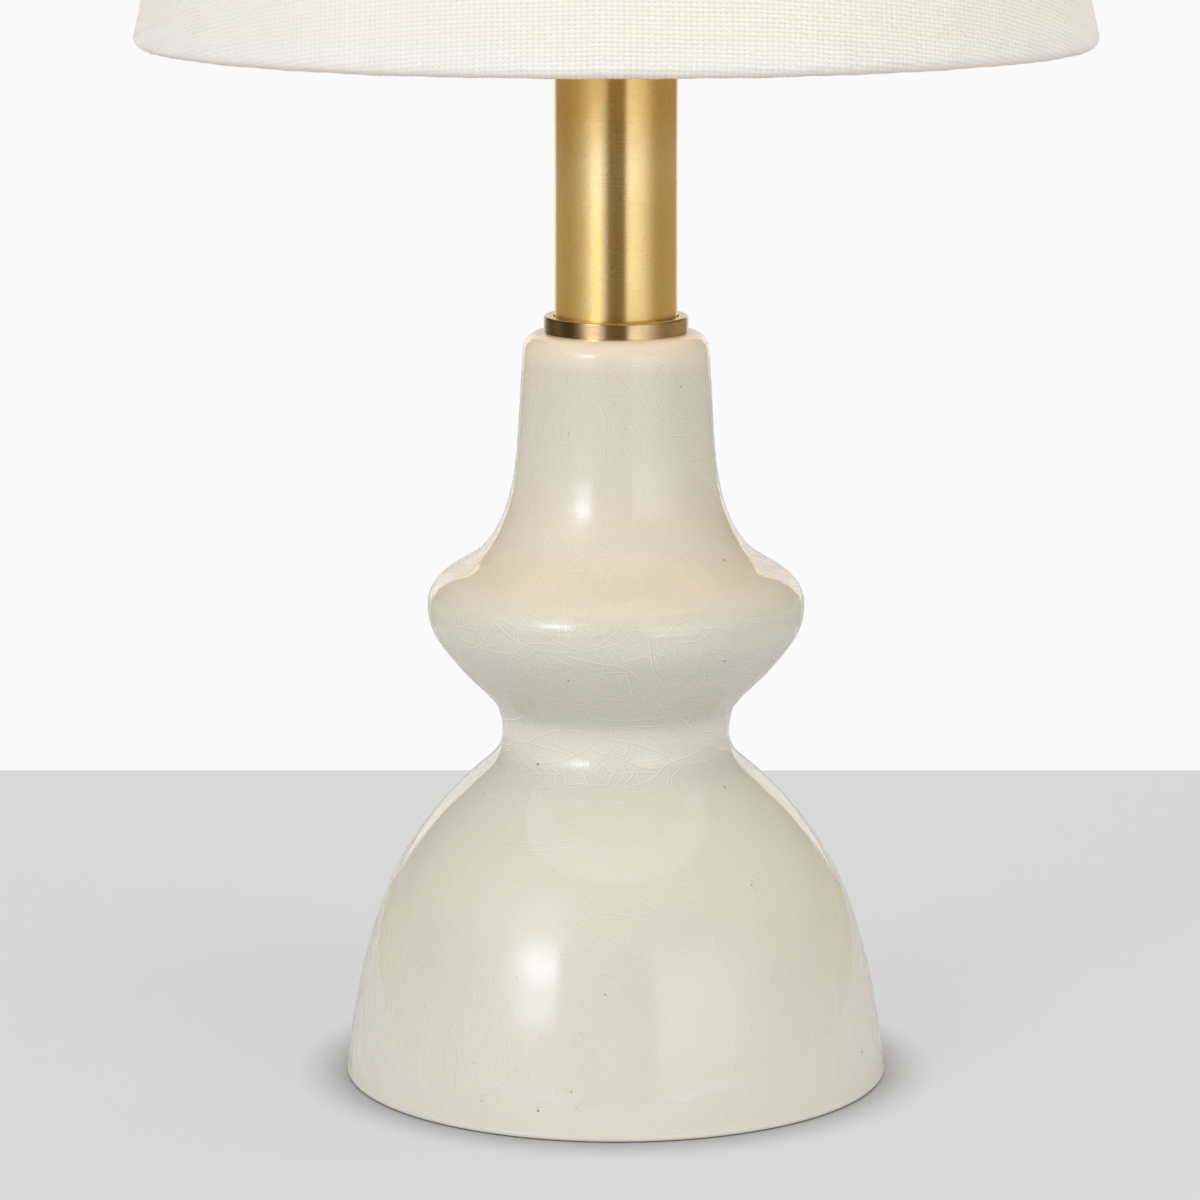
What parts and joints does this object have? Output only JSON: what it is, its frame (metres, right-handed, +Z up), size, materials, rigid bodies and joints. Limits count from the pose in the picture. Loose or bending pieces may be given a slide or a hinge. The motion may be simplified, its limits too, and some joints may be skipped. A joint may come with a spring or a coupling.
{
  "type": "accent lamp",
  "caption": "Small table lamp: hourglass crackle-glazed ceramic base, satin brass tube column and an empire linen shade on a harp, lit by a screw-in bulb.",
  "frame": {"origin": "on the table, under the lamp's vertical axis", "axes": "+Z up along the column, -Y to the front, +Y to the back where the cord goes in"},
  "size_m": [0.2008, 0.2008, 0.3982],
  "materials": {
    "crackle_glaze": "glossy crackle glaze",
    "felt": "felted",
    "bushing_plastic": "moulded",
    "washer_rubber": "matte",
    "plated_steel": "zinc plated",
    "satin_brass": "satin brushed",
    "harp_brass": "satin",
    "socket_brass": "rolled sheet",
    "liner_card": "pressed paper",
    "socket_phenolic": "moulded",
    "contact_metal": "stamped",
    "knob_phenolic": "moulded",
    "bulb_frost": "soft white frost",
    "bulb_metal": "rolled thread",
    "bulb_insulator": "black glass",
    "bulb_solder": "solder",
    "bulb_stem_glass": "clear",
    "filament_metal": "drawn wire",
    "linen": "plain-weave linen",
    "shade_styrene": "translucent sheet",
    "shade_wire": "plated wire"
  },
  "bodies": {
    "base": {"ceramic_body": "crackle_glaze", "base_felt": "felt", "cord_bushing": "bushing_plastic", "base_cushion_washer": "washer_rubber", "base_washer": "plated_steel", "base_lock_washer": "plated_steel", "base_nut": "plated_steel", "lamp_pipe": "plated_steel", "column_collar": "satin_brass", "column_tube": "satin_brass", "column_cap": "satin_brass", "column_nut": "plated_steel", "harp_saddle": "harp_brass", "socket_cap": "socket_brass", "socket_set_screw": "plated_steel", "socket_shell": "socket_brass", "socket_liner": "liner_card", "socket_body": "socket_phenolic", "terminal_screws": "plated_steel", "socket_screw_shell": "contact_metal", "socket_centre_contact": "contact_metal"},
    "switch": {"switch_shaft": "plated_steel", "switch_knob": "knob_phenolic"},
    "bulb": {"bulb_glass": "bulb_frost", "bulb_cap": "bulb_metal", "bulb_insulator": "bulb_insulator", "bulb_contact": "bulb_solder", "bulb_stem": "bulb_stem_glass", "bulb_filament": "filament_metal"},
    "harp": {"harp_wire": "harp_brass", "harp_stud": "harp_brass"},
    "sleeve_left": {"harp_sleeve_left": "harp_brass"},
    "sleeve_right": {"harp_sleeve_right": "harp_brass"},
    "shade": {"shade_fabric": "linen", "shade_liner": "shade_styrene", "shade_bottom_ring": "shade_wire", "shade_spider": "harp_brass"},
    "finial": {"finial": "satin_brass"}
  },
  "joints": [
    {"name": "switch_turn", "type": "hinge", "parent": "base", "child": "switch", "pos_m": [0, -0.0183, 0.2578], "axis": [0, -1, 0], "continuous": true},
    {"name": "bulb_unscrew", "type": "hinge", "parent": "base", "child": "bulb", "pos_m": [0, 0, 0.28], "axis": [0, 0, 1], "continuous": true},
    {"name": "harp_lift", "type": "slide", "parent": "base", "child": "harp", "axis": [0, 0, 1], "range_m": [0, 0.13]},
    {"name": "sleeve_left_slide", "type": "slide", "parent": "harp", "child": "sleeve_left", "axis": [0, 0, 1], "range_m": [0, 0.015]},
    {"name": "sleeve_right_slide", "type": "slide", "parent": "harp", "child": "sleeve_right", "axis": [0, 0, 1], "range_m": [0, 0.015]},
    {"name": "shade_swivel", "type": "hinge", "parent": "harp", "child": "shade", "pos_m": [0, 0, 0.3735], "axis": [0, 0, 1], "continuous": true},
    {"name": "finial_unscrew", "type": "hinge", "parent": "harp", "child": "finial", "pos_m": [0, 0, 0.3785], "axis": [0, 0, 1], "continuous": true}
  ]
}
